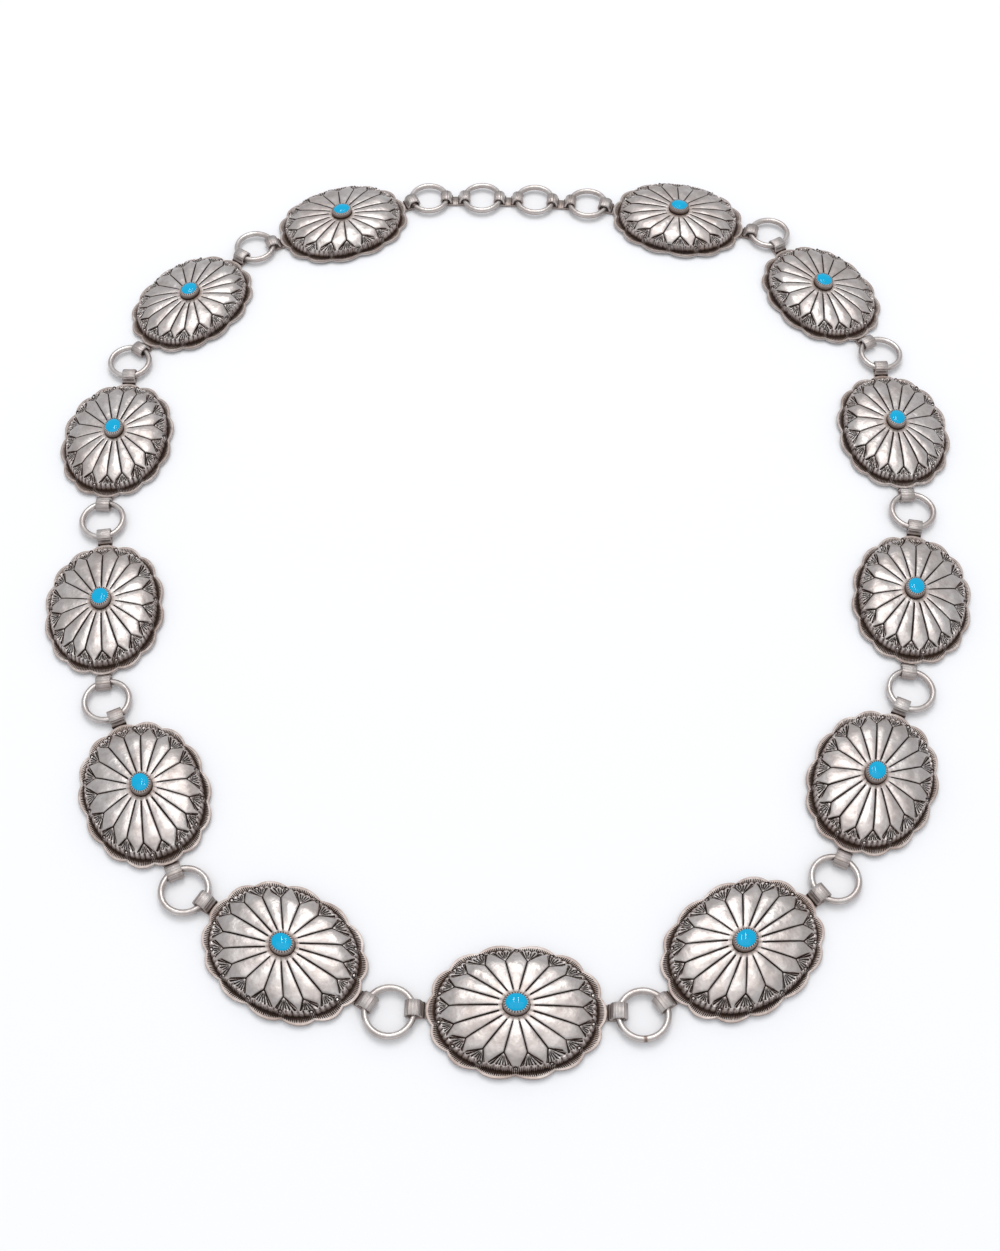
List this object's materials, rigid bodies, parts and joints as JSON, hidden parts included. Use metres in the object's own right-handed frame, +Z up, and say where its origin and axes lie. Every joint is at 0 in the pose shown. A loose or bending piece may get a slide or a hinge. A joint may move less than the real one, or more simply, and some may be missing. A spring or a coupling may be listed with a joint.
{
  "type": "concho belt",
  "caption": "Concho belt of domed, stamped oval silver plates, each set with a round turquoise stone, linked by rings and closed with a short back chain.",
  "frame": {"origin": "on the table, under the middle of the lying belt's bounding box", "axes": "+Z up from the table, -Y towards the front concho, +X to the right of someone who looks along +Y"},
  "size_m": [0.2984, 0.3398, 0.0092],
  "materials": {
    "silver": "polished silver with dark oxidised recesses",
    "turquoise": "polished cabochon"
  },
  "bodies": {
    "root": {"concho_01": "silver", "concho_02": "silver", "concho_03": "silver", "concho_04": "silver", "concho_05": "silver", "concho_06": "silver", "concho_07": "silver", "concho_08": "silver", "concho_09": "silver", "concho_10": "silver", "concho_11": "silver", "concho_12": "silver", "concho_13": "silver", "turquoise_01": "turquoise", "turquoise_02": "turquoise", "turquoise_03": "turquoise", "turquoise_04": "turquoise", "turquoise_05": "turquoise", "turquoise_06": "turquoise", "turquoise_07": "turquoise", "turquoise_08": "turquoise", "turquoise_09": "turquoise", "turquoise_10": "turquoise", "turquoise_11": "turquoise", "turquoise_12": "turquoise", "turquoise_13": "turquoise", "link_ring_01": "silver", "link_ring_02": "silver", "link_ring_03": "silver", "link_ring_04": "silver", "link_ring_05": "silver", "link_ring_06": "silver", "link_ring_07": "silver", "link_ring_08": "silver", "link_ring_09": "silver", "link_ring_10": "silver", "link_ring_11": "silver", "link_ring_12": "silver", "back_ring_1": "silver", "back_ring_2": "silver", "back_ring_3": "silver", "back_ring_4": "silver", "back_strap_1": "silver", "back_strap_2": "silver", "back_strap_3": "silver"}
  },
  "joints": []
}
